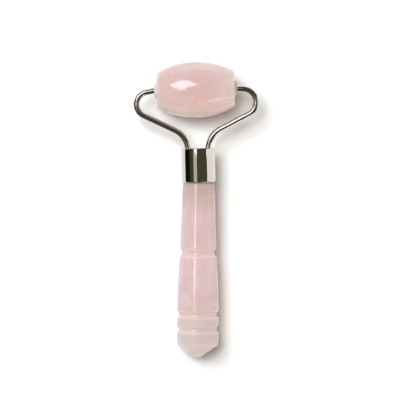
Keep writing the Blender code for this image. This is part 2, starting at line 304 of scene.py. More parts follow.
def handle_outline():
    """The stone's outline from the end of its tenon to its tip."""
    apex_station = CONE_STATION + CONE_BASE_RADIUS / math.tan(CONE_HALF_ANGLE)
    nose_setback = TIP_ROUND * (1 / math.sin(CONE_HALF_ANGLE) - 1)
    nose_centre = apex_station - nose_setback - TIP_ROUND
    nose_angle = math.pi / 2 - CONE_HALF_ANGLE
    nose = arc_points(
        Vector((0.0, -nose_centre)), TIP_ROUND, nose_angle - math.pi / 2, -nose_angle, ARC_STEP
    )
    corners = [
        (0.0, TENON_LENGTH, 0.0),
        (TENON_RADIUS, TENON_LENGTH, TENON_END_ROUND),
        (TENON_RADIUS, -SHOULDER_STATION, 0.0),
        (SHOULDER_RADIUS, -SHOULDER_STATION, SHOULDER_ROUND),
        (GRIP_TOP_RADIUS, -GRIP_TOP_STATION, GRIP_TOP_ROUND),
        *groove_corners(
            WAIST_GROOVE_STATION,
            GROOVE_HALF_WIDTH,
            (WAIST_UPPER_RADIUS, WAIST_LOWER_RADIUS),
            GROOVE_EDGE_ROUND,
        ),
        (BELLY_RADIUS, -BELLY_STATION, BELLY_ROUND),
    ]
    for station in BEAD_GROOVE_STATIONS:
        corners += groove_corners(
            station, BEAD_GROOVE_HALF_WIDTH, (BEAD_RADIUS, BEAD_RADIUS), BEAD_EDGE_ROUND
        )
    corners.append((CONE_BASE_RADIUS, -CONE_STATION, CONE_EDGE_ROUND))
    corners.append((*nose[0], 0.0))
    return rounded_path(corners) + nose[1:]


# ---------------------------------------------------------------- meshes


def along_x(side):
    """Lays a turned shape along X, with its height running outwards on the given side."""

    def lay(radius, angle, height):
        return side * height, radius * math.cos(angle), radius * math.sin(angle)

    return lay


def along_y(radius, angle, height):
    """Lays a turned shape along Y, with its height running towards +Y."""
    return radius * math.cos(angle), height, radius * math.sin(angle)


def add_piece(name, mesh, placement):
    """Turns every face of a closed mesh outwards, shades it smooth and puts it in the scene."""
    shape = bmesh.new()
    shape.from_mesh(mesh)
    bmesh.ops.recalc_face_normals(shape, faces=shape.faces)
    shape.to_mesh(mesh)
    shape.free()
    mesh.shade_smooth()
    mesh.set_sharp_from_angle(angle=SHARP_ANGLE)
    piece = bpy.data.objects.new(name, mesh)
    piece.matrix_world = placement
    bpy.context.scene.collection.objects.link(piece)
    return piece


def turned_piece(name, outline, lay, steps, placement, closed=False, swell=None):
    """A solid turned from an outline of (radius, height) points.

    An open outline starts and ends on the axis, and a closed one makes a ring.
    lay(radius, angle, height) gives a point's place in the piece's own frame.
    swell(radius, height, point) gives how far a point stands out from the outline.
    """
    vertices = []
    rings = []
    for radius, height in outline:
        count = 1 if radius == 0.0 else steps
        rings.append(range(len(vertices), len(vertices) + count))
        for index in range(count):
            angle = math.tau * index / steps
            point = lay(radius, angle, height)
            if swell and radius > 0.0:
                point = lay(radius + swell(radius, height, Vector(point)), angle, height)
            vertices.append(point)
    faces = []
    pairs = list(zip(rings, rings[1:]))
    if closed:
        pairs.append((rings[-1], rings[0]))
    for upper, lower in pairs:
        for index in range(steps):
            following = (index + 1) % steps
            corners = [upper[index % len(upper)], upper[following % len(upper)]]
            corners += [lower[following % len(lower)], lower[index % len(lower)]]
            faces.append(list(dict.fromkeys(corners)))
    mesh = bpy.data.meshes.new(name)
    mesh.from_pydata(vertices, [], faces)
    return add_piece(name, mesh, placement)


def swept_piece(name, path, radius, sides, placement):
    """A round bar along a path in the XY plane, closed at both ends."""
    vertices = []
    for index, here in enumerate(path):
        before = path[max(index - 1, 0)]
        after = path[min(index + 1, len(path) - 1)]
        way = (after - before).normalized()
        for side in range(sides):
            angle = math.tau * side / sides
            across = radius * math.cos(angle)
            rise = radius * math.sin(angle)
            vertices.append((here.x - way.y * across, here.y + way.x * across, rise))
    faces = []
    for index in range(len(path) - 1):
        for side in range(sides):
            following = (side + 1) % sides
            low = index * sides
            high = low + sides
            faces.append((low + side, low + following, high + following, high + side))
    faces.append(tuple(range(sides)))
    faces.append(tuple(range((len(path) - 1) * sides, len(path) * sides)))
    mesh = bpy.data.meshes.new(name)
    mesh.from_pydata(vertices, [], faces)
    return add_piece(name, mesh, placement)


def cut_round_holes(piece, holes):
    """Drills round holes, each (placement, radius, bottom, top), into a piece's own mesh."""
    cutters = []
    for placement, radius, bottom, top in holes:
        outline = [(0.0, top), (radius, top), (radius, bottom), (0.0, bottom)]
        cutter = turned_piece("hole_cutter", outline, along_y, HOLE_STEPS, placement)
        cutters.append(cutter)
        boolean = piece.modifiers.new("Drill", "BOOLEAN")
        boolean.operation = "DIFFERENCE"
        boolean.object = cutter
    bpy.context.view_layer.update()
    evaluated = piece.evaluated_get(bpy.context.evaluated_depsgraph_get())
    drilled = bpy.data.meshes.new_from_object(evaluated)
    piece.modifiers.clear()
    piece.data = drilled
    drilled.shade_smooth()
    drilled.set_sharp_from_angle(angle=SHARP_ANGLE)
    for cutter in cutters:
        bpy.data.objects.remove(cutter, do_unlink=True)


def eased(value, start, end):
    """0 up to start, 1 from end on, and a smooth rise in between."""
    share = min(max((value - start) / (end - start), 0.0), 1.0)
    return share * share * (3 - 2 * share)


def polish_wave(point):
    """How far the polished surface stands out at a point."""
    return POLISH_WAVE_HEIGHT * noise.noise(point / POLISH_WAVE_LENGTH)


def roller_swell(radius, height, point):
    """The polished barrel is a little wavy, and its drilled ends aren't."""
    return polish_wave(point) * eased(radius, *ROLLER_WAVE_RADII)


def handle_swell(radius, height, point):
    """The polished handle is a little wavy, and its tenon isn't."""
    return polish_wave(point) * eased(-height, *HANDLE_WAVE_STATIONS)


# ---------------------------------------------------------------- node helpers


# The Mix node has several sockets of one name, so its colour sockets go by number
MIX_FACTOR = 0
MIX_COLOUR_A = 6
MIX_COLOUR_B = 7
MIX_COLOUR_RESULT = 2

NO_TURN = (0.0, 0.0, 0.0)


def add_node(tree, kind, inputs, **settings):
    """Adds a shader node. Each input is another node's output or a plain value."""
    made = tree.nodes.new("ShaderNode" + kind)
    for name, value in settings.items():
        setattr(made, name, value)
    for name, value in inputs.items():
        if isinstance(value, bpy.types.NodeSocket):
            tree.links.new(value, made.inputs[name])
        else:
            made.inputs[name].default_value = value
    return made


def maths(tree, operation, *values):
    """The result of a Math node on values or other nodes' outputs."""
    return add_node(tree, "Math", dict(enumerate(values)), operation=operation).outputs[0]


def mixed(tree, factor, first, second):
    """The first colour at factor 0, and the second at factor 1."""
    inputs = {MIX_FACTOR: factor, MIX_COLOUR_A: first, MIX_COLOUR_B: second}
    return add_node(tree, "Mix", inputs, data_type="RGBA").outputs[MIX_COLOUR_RESULT]


def remapped(tree, value, low, high, to_low=0.0, to_high=1.0):
    """The value from low to high, eased onto to_low to to_high and held beyond."""
    inputs = {"Value": value, "From Min": low, "From Max": high, "To Min": to_low, "To Max": to_high}
    return add_node(tree, "MapRange", inputs, interpolation_type="SMOOTHSTEP").outputs[0]


def noise_value(tree, vector, size, detail=3.0, roughness=0.5, distortion=0.0):
    """Noise whose blobs are about as wide as the given size."""
    inputs = {
        "Vector": vector,
        "Scale": 1.0 / size,
        "Detail": detail,
        "Roughness": roughness,
        "Distortion": distortion,
    }
    return add_node(tree, "TexNoise", inputs).outputs["Fac"]


def scaled(tree, vector, scale, rotation=NO_TURN, offset=(0.0, 0.0, 0.0)):
    """The vector scaled, then turned, then moved."""
    inputs = {"Vector": vector, "Location": offset, "Rotation": rotation, "Scale": scale}
    return add_node(tree, "Mapping", inputs).outputs[0]


def new_material(name):
    """A material with one Principled shader, with its tree, shader and the piece's own coordinates."""
    material = bpy.data.materials.new(name)
    material.use_nodes = True
    tree = material.node_tree
    position = add_node(tree, "TexCoord", {}).outputs["Object"]
    return material, tree, tree.nodes["Principled BSDF"], position


def set_values(shader, values):
    for name, value in values.items():
        shader.inputs[name].default_value = value


def add_bump(tree, shader, height, strength, distance):
    bump = add_node(tree, "Bump", {"Height": height, "Strength": strength, "Distance": distance})
    tree.links.new(bump.outputs[0], shader.inputs["Normal"])


# ---------------------------------------------------------------- materials


# Rose quartz
QUARTZ_IOR = 1.54
QUARTZ_GLOSS = 0.36
QUARTZ_SCATTER_DEPTH = 0.0100
QUARTZ_SCATTER_RADIUS = (1.0, 0.85, 0.80)
ROLLER_ROUGHNESS = (0.015, 0.040)
HANDLE_ROUGHNESS = (0.12, 0.18)
HAZE_SIZE = 0.004
HAZE_RANGE = (0.35, 0.70)
POLISH_MARK_SIZE = 0.0016
POLISH_MARK_STRENGTH = 0.10
POLISH_MARK_HEIGHT = 0.000004

ROSE = (0.550, 0.395, 0.385, 1.0)
LILAC_ROSE = (0.545, 0.402, 0.405, 1.0)
# Milk-white of the clouds; on the roller it is also the painted light on the near side
MILK_AND_PAINTED_LIGHT = (0.610, 0.480, 0.475, 1.0)
DEEP_ROSE = (0.550, 0.355, 0.330, 1.0)
# Smoky rose under the ferrule: the glued tenon showing through, and painted shade from the ferrule
SMOKY_SHADED_ROSE = (0.440, 0.335, 0.305, 1.0)
BEIGE_MILK = (0.480, 0.425, 0.410, 1.0)
# Pale white of the veils; also the painted light on the roller's near rim and in the handle's grooves,
# and the roller's two painted reflection lines
PALE_VEIN_AND_PAINTED_LIGHT = (0.730, 0.600, 0.570, 1.0)

# Milky clouds, and finer wisps that lean across the stone
CLOUD_SIZE = 0.009
CLOUD_RANGE = (0.42, 0.70)
CLOUD_STRENGTH = 0.65
WISP_SIZE = 0.0022
WISP_RANGE = (0.50, 0.78)
WISP_STRETCH = (1.0, 0.35, 0.6)
WISP_LEAN = (0.4, 0.3, -0.55)
WISP_STRENGTH = 0.70

# Slow changes across a stone: where they start and end, and how strong they are there
MILKY_RIGHT_END = (0.003, 0.011, 0.0, 0.7)
# Painted light: makes the roller's near side paler, where it faces away from the key
NEAR_SIDE_PAINTED_LIGHT = (-0.009, -0.002, 0.8, 0.0)
# Painted light on the roller's near rim, standing in for light that comes through the stone
NEAR_RIM_PAINTED_LIGHT = (-0.0092, -0.0065, 0.7, 0.0)
# Smoky top of the handle: the glued tenon showing through, with painted shade from the ferrule
SMOKY_AND_SHADED_TOP = (-0.001, 0.013, 0.9, 0.0)
BEIGE_TIP = (0.036, 0.052, 0.0, 0.75)
# Painted light in the handle's grooves, which lifts the shade between their walls
GROOVE_PAINTED_LIGHT = (0.0, 1.5 * GROOVE_HALF_WIDTH, 0.5, 0.0)
RIGHT_HALF = (0.0, 0.0025)

# Soft patches of deep rose: centre, and half width each way
PATCH_STRENGTH = 0.45
PATCH_FADE = (0.25, 1.0)  # in shares of the half width
PATCH_EDGE_SIZE = 0.003
PATCH_EDGE_RAGGEDNESS = 0.5
ROLLER_PATCH = ((0.0018, -0.0015, 0.007), (0.0050, 0.0060, 0.0080))
HANDLE_PATCH = ((-0.001, -0.0412, 0.005), (0.0060, 0.0018, 0.0080))

# Flat bands through the stones: veils inside them, and two lines of painted reflection on the roller.
# Each lies at a distance from the stone's origin along its normal.
RIPPLE_SIZE = 0.006
# The two lines of painted reflection on the roller: their ripple, width, fade and strength
REFLECTION_LINE_RIPPLE = 0.0001
REFLECTION_LINE_WIDTH = 0.0003
REFLECTION_LINE_FADE = 0.0008
REFLECTION_LINE_STRENGTH = 0.80
ROLLER_PAINTED_REFLECTIONS = (  # painted reflections of the front card's edge and the right wire: normal, distance, start along the axle
    ((-0.16, 0.987, 0.0), -0.0044, 0.0033),
    ((-0.355, 0.935, 0.0), -0.0087, 0.0050),
)
VEIL_RIPPLE = 0.0006
ROLLER_VEIL_NORMAL = (0.85, -0.52, 0.10)
ROLLER_VEIL_STRENGTH = 0.08
ROLLER_VEILS = ((0.0010, 0.0003), (0.0052, 0.0006), (0.0080, 0.0010))  # distance, half width
HANDLE_VEILS = (  # normal, distance, half width, strength
    ((-0.33, 0.94, 0.0), -0.0053, 0.00030, 0.30),
    ((-0.60, 0.80, 0.0), -0.0296, 0.00050, 0.18),
    ((-0.40, 0.92, 0.0), -0.0380, 0.00050, 0.18),
)


def cloudy_rose(tree, position, rose):
    """Rose stone with soft milky clouds and finer wisps that lean across it."""
    blobs = noise_value(tree, position, CLOUD_SIZE, detail=3.0, roughness=0.55, distortion=0.6)
    clouds = remapped(tree, blobs, *CLOUD_RANGE)
    leaning = scaled(tree, position, WISP_STRETCH, WISP_LEAN)
    threads = noise_value(tree, leaning, WISP_SIZE, detail=5.0, roughness=0.6, distortion=0.8)
    wisps = remapped(tree, threads, *WISP_RANGE)
    cloudy = maths(tree, "MULTIPLY", clouds, CLOUD_STRENGTH)
    streaky = maths(tree, "MULTIPLY", wisps, WISP_STRENGTH)
    return mixed(tree, maths(tree, "MAXIMUM", cloudy, streaky), rose, MILK_AND_PAINTED_LIGHT)


def flat_band(tree, position, normal, distance, half_width, ripple_height):
    """1 on a flat band through the stone, falling to 0 at its half width. It draws the veils, and the
    roller's painted reflection lines.
    """
    inputs = {0: position, 1: Vector(normal).normalized()}
    height = add_node(tree, "VectorMath", inputs, operation="DOT_PRODUCT").outputs["Value"]
    wander = noise_value(tree, position, RIPPLE_SIZE, detail=2.0)
    ripple = maths(tree, "MULTIPLY_ADD", wander, 2 * ripple_height, -ripple_height - distance)
    away = maths(tree, "ABSOLUTE", maths(tree, "ADD", height, ripple))
    return remapped(tree, away, 0.0, half_width, 1.0, 0.0)


def soft_patch(tree, position, centre, half_widths):
    """1 near the centre of a soft patch, falling to 0 at its ragged edge."""
    offset = tuple(-c / s for c, s in zip(centre, half_widths))
    local = scaled(tree, position, tuple(1 / s for s in half_widths), offset=offset)
    length = add_node(tree, "VectorMath", {0: local}, operation="LENGTH").outputs["Value"]
    edge = noise_value(tree, position, PATCH_EDGE_SIZE)
    ragged = maths(tree, "MULTIPLY_ADD", edge, PATCH_EDGE_RAGGEDNESS, -PATCH_EDGE_RAGGEDNESS / 2)
    return remapped(tree, maths(tree, "ADD", length, ragged), *PATCH_FADE, 1.0, 0.0)


def faded_mix(tree, factor, strength, first, second):
    """The first colour, with the second showing where the factor is high, up to the given strength."""
    return mixed(tree, maths(tree, "MULTIPLY", factor, strength), first, second)


def finish_quartz(tree, shader, position, colour, roughness):
    """The gloss, translucency and faint polishing marks that both stones share."""
    tree.links.new(colour, shader.inputs["Base Color"])
    set_values(shader, {
        "IOR": QUARTZ_IOR,
        "Specular IOR Level": QUARTZ_GLOSS,
        "Subsurface Weight": 1.0,
        "Subsurface Radius": QUARTZ_SCATTER_RADIUS,
        "Subsurface Scale": QUARTZ_SCATTER_DEPTH,
    })
    haze = noise_value(tree, position, HAZE_SIZE, detail=4.0)
    tree.links.new(remapped(tree, haze, *HAZE_RANGE, *roughness), shader.inputs["Roughness"])
    marks = noise_value(tree, position, POLISH_MARK_SIZE, detail=2.0)
    add_bump(tree, shader, marks, POLISH_MARK_STRENGTH, POLISH_MARK_HEIGHT)


def roller_quartz():
    """Pink stone, paler towards its right end, with painted light on its near side and near rim, two
    pale lines of painted reflection and faint veils.
    """
    material, tree, shader, position = new_material("roller_rose_quartz")
    colour = cloudy_rose(tree, position, ROSE)
    patch = soft_patch(tree, position, *ROLLER_PATCH)
    colour = faded_mix(tree, patch, PATCH_STRENGTH, colour, DEEP_ROSE)
    axes = add_node(tree, "SeparateXYZ", {0: position})
    right_end = remapped(tree, axes.outputs["X"], *MILKY_RIGHT_END)
    near_side_light = remapped(tree, axes.outputs["Y"], *NEAR_SIDE_PAINTED_LIGHT)
    # Paler towards the right end, and painted light on the near side
    colour = mixed(tree, maths(tree, "MAXIMUM", right_end, near_side_light), colour, MILK_AND_PAINTED_LIGHT)
    # Painted light on the near rim
    colour = mixed(tree, remapped(tree, axes.outputs["Y"], *NEAR_RIM_PAINTED_LIGHT), colour, PALE_VEIN_AND_PAINTED_LIGHT)
    # Two painted reflections: pale lines from the front card's edge and the right wire
    for normal, distance, start in ROLLER_PAINTED_REFLECTIONS:
        reflection_line = flat_band(tree, position, normal, distance, REFLECTION_LINE_WIDTH, REFLECTION_LINE_RIPPLE)
        reach = remapped(tree, axes.outputs["X"], start, start + REFLECTION_LINE_FADE)
        painted_reflection = maths(tree, "MULTIPLY", reflection_line, reach)
        colour = faded_mix(tree, painted_reflection, REFLECTION_LINE_STRENGTH, colour, PALE_VEIN_AND_PAINTED_LIGHT)
    for distance, half_width in ROLLER_VEILS:
        veil = flat_band(tree, position, ROLLER_VEIL_NORMAL, distance, half_width, VEIL_RIPPLE)
        colour = faded_mix(tree, veil, ROLLER_VEIL_STRENGTH, colour, PALE_VEIN_AND_PAINTED_LIGHT)
    finish_quartz(tree, shader, position, colour, ROLLER_ROUGHNESS)
    return material


def handle_quartz():
    """Lilac pink stone, smoky under the ferrule where the glued tenon shows through and the ferrule's
    shade is painted in, beige at the tip, with painted light in its grooves.
    """
    material, tree, shader, position = new_material("handle_rose_quartz")
    colour = cloudy_rose(tree, position, LILAC_ROSE)
    axes = add_node(tree, "SeparateXYZ", {0: position})
    station = maths(tree, "MULTIPLY", axes.outputs["Y"], -1.0)
    # Smoky near the ferrule: the glued tenon showing through, and painted shade from the ferrule
    colour = mixed(tree, remapped(tree, station, *SMOKY_AND_SHADED_TOP), colour, SMOKY_SHADED_ROSE)
    colour = mixed(tree, remapped(tree, station, *BEIGE_TIP), colour, BEIGE_MILK)
    patch = soft_patch(tree, position, *HANDLE_PATCH)
    colour = faded_mix(tree, patch, PATCH_STRENGTH, colour, DEEP_ROSE)
    right_half = remapped(tree, axes.outputs["X"], *RIGHT_HALF)
    for normal, distance, half_width, strength in HANDLE_VEILS:
        veil = flat_band(tree, position, normal, distance, half_width, VEIL_RIPPLE)
        colour = faded_mix(tree, maths(tree, "MULTIPLY", veil, right_half), strength, colour, PALE_VEIN_AND_PAINTED_LIGHT)
    # Painted light in the grooves, which lifts their shade
    for groove in (WAIST_GROOVE_STATION, *BEAD_GROOVE_STATIONS):
        away = maths(tree, "ABSOLUTE", maths(tree, "SUBTRACT", station, groove))
        colour = mixed(tree, remapped(tree, away, *GROOVE_PAINTED_LIGHT), colour, PALE_VEIN_AND_PAINTED_LIGHT)
    finish_quartz(tree, shader, position, colour, HANDLE_ROUGHNESS)
    return material


# Chrome plating. The grain is stretched along the ferrule, where it was drawn.
CHROME_LIGHT = (0.70, 0.65, 0.62, 1.0)
CHROME_DARK = (0.64, 0.60, 0.57, 1.0)
CHROME_TONE_SIZE = 0.004
GRAIN_SIZE = 0.0004
GRAIN_RANGE = (0.30, 0.75)
GRAIN_STRENGTH = 0.15
GRAIN_HEIGHT = 0.000004
WIRE_GRAIN = (1.0, 1.0, 1.0)
WIRE_ROUGHNESS = (0.02, 0.06)
FERRULE_GRAIN = (1.0, 0.12, 1.0)
FERRULE_ROUGHNESS = (0.010, 0.025)


def plated_chrome(name, grain_scale, roughness):
    """Bright plating with faint tone changes and fine drawing marks."""
    material, tree, shader, position = new_material(name)
    tone = noise_value(tree, position, CHROME_TONE_SIZE)
    tree.links.new(mixed(tree, tone, CHROME_DARK, CHROME_LIGHT), shader.inputs["Base Color"])
    drawn = scaled(tree, position, grain_scale)
    grain = noise_value(tree, drawn, GRAIN_SIZE, detail=4.0, roughness=0.6)
    tree.links.new(remapped(tree, grain, *GRAIN_RANGE, *roughness), shader.inputs["Roughness"])
    set_values(shader, {"Metallic": 1.0})
    add_bump(tree, shader, grain, GRAIN_STRENGTH, GRAIN_HEIGHT)
    return material


NYLON_PALE = (0.64, 0.56, 0.53, 1.0)
NYLON_DULL = (0.56, 0.47, 0.44, 1.0)
NYLON_IOR = 1.53
NYLON_SCATTER_DEPTH = 0.0012
NYLON_SCATTER_RADIUS = (1.0, 0.8, 0.7)
NYLON_TONE_SIZE = 0.0012
NYLON_TONE_RANGE = (0.3, 0.7)
NYLON_PEEL_SIZE = 0.0003
NYLON_PEEL_STRENGTH = 0.2
NYLON_PEEL_HEIGHT = 0.00001
NYLON_ROUGHNESS = (0.18, 0.35)


def clear_nylon():
    """Translucent moulded plastic."""
    material, tree, shader, position = new_material("clear_nylon")
    tone = noise_value(tree, position, NYLON_TONE_SIZE)
    tree.links.new(mixed(tree, tone, NYLON_PALE, NYLON_DULL), shader.inputs["Base Color"])
    set_values(shader, {
        "IOR": NYLON_IOR,
        "Subsurface Weight": 1.0,
        "Subsurface Radius": NYLON_SCATTER_RADIUS,
        "Subsurface Scale": NYLON_SCATTER_DEPTH,
    })
    rough = remapped(tree, tone, *NYLON_TONE_RANGE, *NYLON_ROUGHNESS)
    tree.links.new(rough, shader.inputs["Roughness"])
    peel = noise_value(tree, position, NYLON_PEEL_SIZE, detail=2.0)
    add_bump(tree, shader, peel, NYLON_PEEL_STRENGTH, NYLON_PEEL_HEIGHT)
    return material


GLUE_AMBER = (0.82, 0.76, 0.58, 1.0)
GLUE_BROWN = (0.70, 0.62, 0.44, 1.0)
GLUE_IOR = 1.55
GLUE_TONE_SIZE = 0.002
GLUE_TONE_RANGE = (0.3, 0.7)
GLUE_ROUGHNESS = (0.15, 0.45)
GLUE_BUBBLES_PER_METRE = 1800.0
GLUE_BUBBLE_RANGE = (0.1, 0.3)
GLUE_BUBBLE_STRENGTH = 0.3
GLUE_BUBBLE_HEIGHT = 0.00003


def epoxy_glue():
    """Cured amber glue with small bubbles."""
    material, tree, shader, position = new_material("epoxy_glue")
    tone = noise_value(tree, position, GLUE_TONE_SIZE, detail=4.0)
    tree.links.new(mixed(tree, tone, GLUE_AMBER, GLUE_BROWN), shader.inputs["Base Color"])
    set_values(shader, {"IOR": GLUE_IOR})
    rough = remapped(tree, tone, *GLUE_TONE_RANGE, *GLUE_ROUGHNESS)
    tree.links.new(rough, shader.inputs["Roughness"])
    inputs = {"Vector": position, "Scale": GLUE_BUBBLES_PER_METRE}
    bubbles = add_node(tree, "TexVoronoi", inputs).outputs["Distance"]
    dents = remapped(tree, bubbles, *GLUE_BUBBLE_RANGE)
    add_bump(tree, shader, dents, GLUE_BUBBLE_STRENGTH, GLUE_BUBBLE_HEIGHT)
    return material


TABLE_TONES = ((0.920, 0.920, 0.920, 1.0), (0.930, 0.930, 0.930, 1.0))
TABLE_TONE_SIZE = 0.4
CARD_TONES = ((0.012, 0.012, 0.012, 1.0), (0.018, 0.018, 0.018, 1.0))
CARD_TONE_SIZE = 0.05
MATT_ROUGHNESS = 0.9
MATT_GLOSS = 0.1


def matt(name, tone_size, tones):
    """A matt studio surface, slightly uneven in tone."""
    material, tree, shader, position = new_material(name)
    tone = noise_value(tree, position, tone_size, detail=2.0)
    tree.links.new(mixed(tree, tone, *tones), shader.inputs["Base Color"])
    set_values(shader, {"Roughness": MATT_ROUGHNESS, "Specular IOR Level": MATT_GLOSS})
    return material


def table_white():
    return matt("table_white", TABLE_TONE_SIZE, TABLE_TONES)


def card_black():
    return matt("card_black", CARD_TONE_SIZE, CARD_TONES)


# ---------------------------------------------------------------- the object's pieces


def build_roller():
    stone = turned_piece(
        "polished_roller_stone",
        roller_outline(),
        along_x(RIGHT_SIDE),
        STONE_STEPS,
        AXLE,
        closed=True,
        swell=roller_swell,
    )
    stone.data.materials.append(roller_quartz())
    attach(stone, "roller")
    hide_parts("roller_stone")


def build_bushes():
    """The two bushes, each with its nose outwards at its own end of the stone."""
    nylon = clear_nylon()
    for side, name in ((LEFT_SIDE, "left"), (RIGHT_SIDE, "right")):
        placement = AXLE @ Matrix.Translation((side * ROLLER_LENGTH / 2, 0.0, 0.0))
        bush = turned_piece(
            name + "_moulded_bush", bush_outline(), along_x(side), BUSH_STEPS, placement, closed=True
        )
        bush.data.materials.append(nylon)
        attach(bush, "roller")
        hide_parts(name + "_bush")


def build_wires():
    chrome = plated_chrome("wire_chrome", WIRE_GRAIN, WIRE_ROUGHNESS)
    for side, name in ((LEFT_SIDE, "left"), (RIGHT_SIDE, "right")):
        wire = swept_piece(name + "_drawn_wire", arm_path(side), WIRE_RADIUS, WIRE_SIDES, HEAD)
        wire.data.materials.append(chrome)
        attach(wire, "handle")
        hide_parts(name + "_arm_wire")


def build_ferrule():
    """The ferrule, with a hole for each wire in its closed end."""
    outline = with_short_steps(ferrule_outline(), RING_GAP)
    ferrule = turned_piece("drawn_ferrule", outline, along_y, FERRULE_STEPS, MOUTH)
    hole_bottom = FERRULE_LENGTH - FERRULE_TOP_THICKNESS - CUTTER_OVERSHOOT
    hole_top = FERRULE_LENGTH + CUTTER_OVERSHOOT
    hole_radius = WIRE_RADIUS + WIRE_HOLE_GAP
    holes = []
    for side in (LEFT_SIDE, RIGHT_SIDE):
        placement = MOUTH @ Matrix.Translation((side * TAIL_OFFSET, 0.0, 0.0))
        holes.append((placement, hole_radius, hole_bottom, hole_top))
    cut_round_holes(ferrule, holes)
    chrome = plated_chrome("ferrule_chrome", FERRULE_GRAIN, FERRULE_ROUGHNESS)
    ferrule.data.materials.append(chrome)
    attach(ferrule, "handle")
    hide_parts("ferrule")


def build_handle():
    outline = with_short_steps(handle_outline(), RING_GAP)
    handle = turned_piece(
        "polished_handle_stone", outline, along_y, STONE_STEPS, HANDLE, swell=handle_swell
    )
    handle.data.materials.append(handle_quartz())
    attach(handle, "handle")
    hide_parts("handle_stone")


def finish_glue():
    """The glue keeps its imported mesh, because the ferrule and the handle hide nearly all of it."""
    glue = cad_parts["ferrule_glue"]
    glue.data.materials.clear()
    glue.data.materials.append(epoxy_glue())


# ---------------------------------------------------------------- studio


CAMERA_DISTANCE = 1.0
CAMERA_AIM = Vector((0.0005, 0.00307, 0.008))
CAMERA_ROLL = math.radians(-1.3)
VIEW_WIDTH = 0.12903  # at the distance of the aim
SENSOR_WIDTH = 36.0

TABLE_RADIUS = 6.0
TABLE_SIDES = 64

UPRIGHT = math.radians(90.0)
CHROME_PIECES = ("left_drawn_wire", "right_drawn_wire", "drawn_ferrule")
CLEAR_PIECES = (
    "polished_roller_stone",
    "left_moulded_bush",
    "right_moulded_bush",
    "polished_handle_stone",
)

# Key light: a softbox up on the left and behind, aimed at the object and turned cornerwise
KEY_DISTANCE = 3.6
KEY_TILT = math.radians(28.9)  # from the zenith
KEY_TURN = math.radians(-138.6)
KEY_ROLL = math.radians(-2.3)
KEY_SIZE = (2.012, 2.054)
KEY_RADIANCE = 10.25
KEY_COLOUR = (0.89, 0.965, 1.0)

# The softbox's lower corner is blunt, and the skirt below it glows a little
CORNER_CENTRE = (-1.12, 0.0175, 3.0)
CORNER_SIZE = (0.70, 0.205)
CORNER_RADIANCE = 6.5
SKIRT_CENTRE = (-1.19, -0.31, 3.0)
SKIRT_SIZE = (1.35, 0.42)
SKIRT_RADIANCE = 0.55

# The chrome mirrors a dimmer twin of the softbox and its corner, which keeps its glints thin
CHROME_KEY_RADIANCE = 2.3
CHROME_CORNER_CENTRE = (-0.90, -0.0075, 3.0)
CHROME_CORNER_SIZE = (0.80, 0.21)

# Overhead fill, which is too diffuse to show in reflections
TOP_CENTRE = (0.0, 0.45, 3.0)
TOP_SIDE = 1.6
TOP_POWER = 35.0
TOP_COLOUR = (1.0, 0.87, 0.75)

# White card low on the right, seen in the chrome
CARD_DISTANCE = 2.0
CARD_TOP_ANGLE = math.radians(61.5)  # from the zenith
CARD_WIDTH = 1.5
CARD_POWER = 5.3
CARD_COLOUR = (1.0, 0.95, 0.92)

# Low black card just outside the picture on the left, which gives the chrome its dark lines
BLACK_CARD_X = -0.0727
BLACK_CARD_Y = (-0.10, 0.05)
BLACK_CARD_HEIGHT = 0.014

# Thin bright edge above the white card
EDGE_ANGLE = math.radians(60.2)  # from the zenith
EDGE_DISTANCE = 2.34
EDGE_CENTRE_Y = 0.247
EDGE_SIZE = (0.035, 0.60)
EDGE_POWER = 0.53

# White card that stands on the right of the front edge, with a bright upper edge
FRONT_CARD_CENTRE = (1.19, -1.40)
FRONT_CARD_TURN = math.radians(-25.3)
FRONT_CARD_SIZE = (1.85, 0.70)
FRONT_CARD_POWER = 4.0
FRONT_EDGE_WIDTH = 0.05
FRONT_EDGE_POWER = 1.7

# Low light that reaches only the stones and bushes. It stands for what the table sends through them.
GLOW_DISTANCE = 2.0
GLOW_SIZE = (3.0, 1.0)
GLOWS = {  # way to the lamp, power, colour
    "left": ((-1.0, 0.0), 10.0, (0.60, 0.85, 1.0)),
    "right": ((1.0, 0.0), 24.0, (0.96, 1.0, 1.0)),
    "front": ((0.0, -1.0), 33.0, (1.0, 0.92, 0.80)),
}

# Fill from behind the table
BACK_DISTANCE = 2.0
BACK_SIZE = (3.0, 1.5)
BACK_POWER = 5.0

BACKDROP_COLOUR = (0.92, 0.92, 0.92, 1.0)
CEILING_DARK = (0.006, 0.006, 0.004, 1.0)
CEILING_OLIVE = (0.078, 0.073, 0.040, 1.0)
CEILING_RAMP = (-0.97, -0.70)  # X of the way a reflection looks, from dark to olive


def build_table():
    mesh = bpy.data.meshes.new("table")
    shape = bmesh.new()
    bmesh.ops.create_circle(shape, cap_ends=True, segments=TABLE_SIDES, radius=TABLE_RADIUS)
    shape.to_mesh(mesh)
    shape.free()
    table = bpy.data.objects.new("table", mesh)
    bpy.context.scene.collection.objects.link(table)
    mesh.materials.append(table_white())


def add_area_light(name, location, rotation, size, power, colour):
    """A rectangular lamp that the camera doesn't see."""
    light = bpy.data.lights.new(name, "AREA")
    light.shape = "RECTANGLE"
    light.size, light.size_y = size
    light.energy = power
    light.color = colour
    lamp = bpy.data.objects.new(name, light)
    lamp.location = location
    lamp.rotation_euler = rotation
    lamp.visible_camera = False
    bpy.context.scene.collection.objects.link(lamp)
    return lamp


def linked_pieces(name, pieces, link_state):
    """A collection that makes a lamp light only these pieces, or all but them."""
    collection = bpy.data.collections.new(name)
    for piece in pieces:
        collection.objects.link(bpy.data.objects[piece])
    for entry in collection.collection_objects:
        entry.light_linking.link_state = link_state
    return collection


def panel_power(radiance, size):
    """The power that gives a lamp of this size this brightness."""
    return radiance * math.pi * size[0] * size[1]


